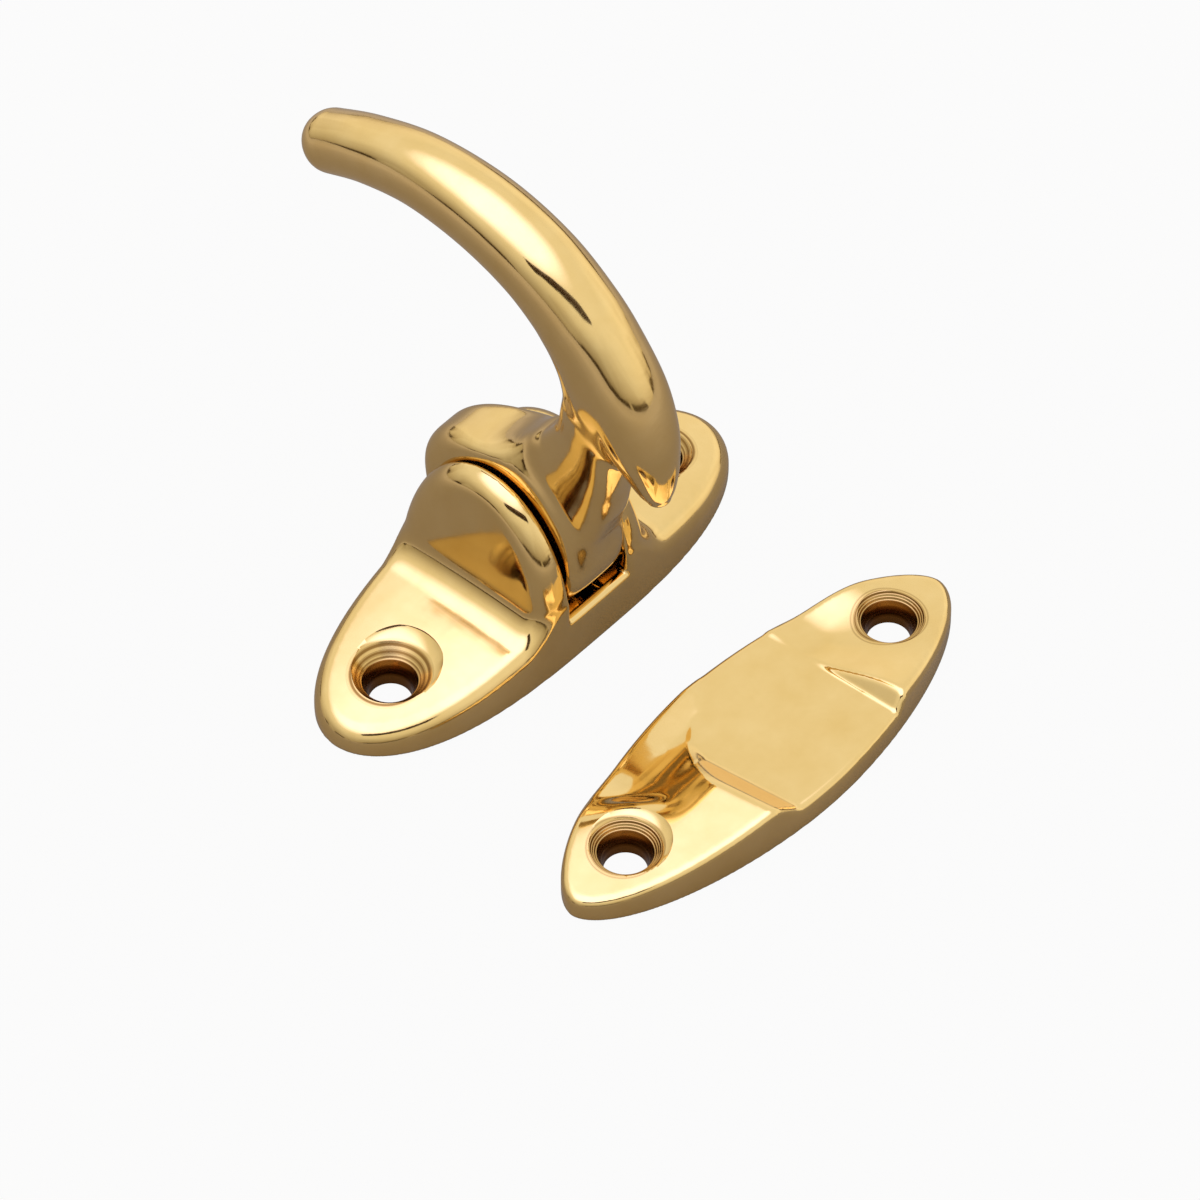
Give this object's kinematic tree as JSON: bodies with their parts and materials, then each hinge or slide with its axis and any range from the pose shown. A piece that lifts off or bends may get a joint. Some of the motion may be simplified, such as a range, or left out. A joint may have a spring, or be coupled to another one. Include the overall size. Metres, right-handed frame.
{
  "type": "spring catch",
  "caption": "Cast brass spring catch: a curved lever on a sprung pivot in a boat-shaped base, with a separate keeper plate that has a flat landing between its screw pads.",
  "frame": {"origin": "centre of the base's underside, midway between its two screw holes", "axes": "+X along the base and the pivot, from the blind end of the pin to its open end; +Y towards the arm's tip and the nose; +Z away from the surface that the base is screwed to"},
  "size_m": [0.0662, 0.08, 0.0631],
  "materials": {
    "base_brass": "polished",
    "lever_brass": "polished",
    "pin_brass": "satin",
    "spring_steel": "drawn",
    "keeper_brass": "polished"
  },
  "bodies": {
    "base": {"base_casting": "base_brass", "pivot_pin": "pin_brass", "torsion_spring": "spring_steel", "keeper_plate": "keeper_brass"},
    "lever": {"lever": "lever_brass"}
  },
  "joints": [
    {"name": "lever_turn", "type": "hinge", "parent": "base", "child": "lever", "pos_m": [0, 0, 0.0137], "axis": [1, 0, 0], "range_deg": [0, 45], "stiffness_Nm_per_rad": 0.07, "springref_deg": -57.3, "deforming": ["torsion_spring"]}
  ]
}
